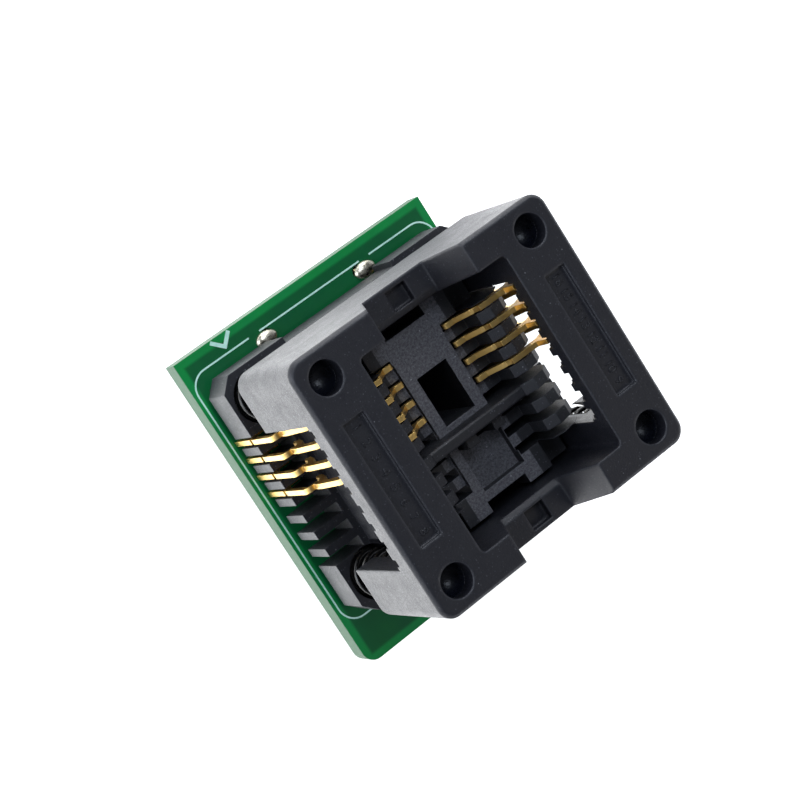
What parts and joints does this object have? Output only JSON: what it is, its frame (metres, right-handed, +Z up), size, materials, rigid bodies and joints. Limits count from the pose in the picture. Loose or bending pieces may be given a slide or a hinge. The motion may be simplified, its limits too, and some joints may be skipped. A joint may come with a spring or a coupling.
{
  "type": "ic programmer adapter socket",
  "caption": "Open-top test socket for a small outline chip on an adapter board with plug-in pins; pressing its sprung cover frame opens the contact arms.",
  "frame": {"origin": "centre of the sixteen-position contact field, on the underside of the adapter board", "axes": "+Z up through the chip seat to the open top, +Y towards the pin-one end, +X from the left contact row to the right one"},
  "size_m": [0.0204, 0.0229, 0.0228],
  "materials": {
    "socket_plastic": "moulded, fine grain",
    "cover_plastic": "moulded, fine grain",
    "strip_plastic": "moulded",
    "board_laminate": "solder mask over glass laminate",
    "contact_gold": "thin gold over copper alloy strip",
    "pin_metal": "plated",
    "spring_steel": "drawn wire",
    "solder": "bright solder"
  },
  "bodies": {
    "base": {"adapter_board": "board_laminate", "base_housing": "socket_plastic", "chip_end_stop": "socket_plastic", "contact_stem_left_1": "contact_gold", "contact_stem_left_2": "contact_gold", "contact_stem_left_3": "contact_gold", "contact_stem_left_4": "contact_gold", "contact_stem_right_1": "contact_gold", "contact_stem_right_2": "contact_gold", "contact_stem_right_3": "contact_gold", "contact_stem_right_4": "contact_gold", "contact_limb_left_1": "contact_gold", "contact_limb_left_2": "contact_gold", "contact_limb_left_3": "contact_gold", "contact_limb_left_4": "contact_gold", "contact_limb_right_1": "contact_gold", "contact_limb_right_2": "contact_gold", "contact_limb_right_3": "contact_gold", "contact_limb_right_4": "contact_gold", "pin_1": "pin_metal", "pin_2": "pin_metal", "pin_3": "pin_metal", "pin_4": "pin_metal", "pin_5": "pin_metal", "pin_6": "pin_metal", "pin_7": "pin_metal", "pin_8": "pin_metal", "pin_strip_left": "strip_plastic", "pin_strip_right": "strip_plastic", "pin_solder": "solder", "tail_solder": "solder", "return_spring_1": "spring_steel", "return_spring_2": "spring_steel", "return_spring_3": "spring_steel", "return_spring_4": "spring_steel"},
    "cover": {"cover_frame": "cover_plastic"},
    "arm_left_1": {"contact_arm_left_1": "contact_gold"},
    "arm_left_2": {"contact_arm_left_2": "contact_gold"},
    "arm_left_3": {"contact_arm_left_3": "contact_gold"},
    "arm_left_4": {"contact_arm_left_4": "contact_gold"},
    "arm_right_1": {"contact_arm_right_1": "contact_gold"},
    "arm_right_2": {"contact_arm_right_2": "contact_gold"},
    "arm_right_3": {"contact_arm_right_3": "contact_gold"},
    "arm_right_4": {"contact_arm_right_4": "contact_gold"}
  },
  "joints": [
    {"name": "cover_press", "type": "slide", "parent": "base", "child": "cover", "axis": [0, 0, 1], "range_m": [-0.0019, 0], "stiffness_N_per_m": 2400, "springref_m": 0.0001, "deforming": ["return_spring_1", "return_spring_2", "return_spring_3", "return_spring_4", "contact_limb_left_1", "contact_limb_left_2", "contact_limb_left_3", "contact_limb_left_4", "contact_limb_right_1", "contact_limb_right_2", "contact_limb_right_3", "contact_limb_right_4"]},
    {"name": "open_left_1", "type": "hinge", "parent": "base", "child": "arm_left_1", "pos_m": [-0.004, 0.00445, 0.0081], "axis": [0, -1, 0], "range_deg": [0, 16.1]},
    {"name": "open_left_2", "type": "hinge", "parent": "base", "child": "arm_left_2", "pos_m": [-0.004, 0.00317, 0.0081], "axis": [0, -1, 0], "range_deg": [0, 16.1]},
    {"name": "open_left_3", "type": "hinge", "parent": "base", "child": "arm_left_3", "pos_m": [-0.004, 0.00191, 0.0081], "axis": [0, -1, 0], "range_deg": [0, 16.1]},
    {"name": "open_left_4", "type": "hinge", "parent": "base", "child": "arm_left_4", "pos_m": [-0.004, 0.00064, 0.0081], "axis": [0, -1, 0], "range_deg": [0, 16.1]},
    {"name": "open_right_1", "type": "hinge", "parent": "base", "child": "arm_right_1", "pos_m": [0.004, 0.00445, 0.0081], "axis": [0, 1, 0], "range_deg": [0, 16.1]},
    {"name": "open_right_2", "type": "hinge", "parent": "base", "child": "arm_right_2", "pos_m": [0.004, 0.00317, 0.0081], "axis": [0, 1, 0], "range_deg": [0, 16.1]},
    {"name": "open_right_3", "type": "hinge", "parent": "base", "child": "arm_right_3", "pos_m": [0.004, 0.00191, 0.0081], "axis": [0, 1, 0], "range_deg": [0, 16.1]},
    {"name": "open_right_4", "type": "hinge", "parent": "base", "child": "arm_right_4", "pos_m": [0.004, 0.00064, 0.0081], "axis": [0, 1, 0], "range_deg": [0, 16.1]}
  ],
  "couplings": [
    {"joint": "open_left_1", "follows": "cover_press", "rad_per_m": -146.98},
    {"joint": "open_left_2", "follows": "cover_press", "rad_per_m": -146.98},
    {"joint": "open_left_3", "follows": "cover_press", "rad_per_m": -146.98},
    {"joint": "open_left_4", "follows": "cover_press", "rad_per_m": -146.98},
    {"joint": "open_right_1", "follows": "cover_press", "rad_per_m": -146.98},
    {"joint": "open_right_2", "follows": "cover_press", "rad_per_m": -146.98},
    {"joint": "open_right_3", "follows": "cover_press", "rad_per_m": -146.98},
    {"joint": "open_right_4", "follows": "cover_press", "rad_per_m": -146.98}
  ]
}
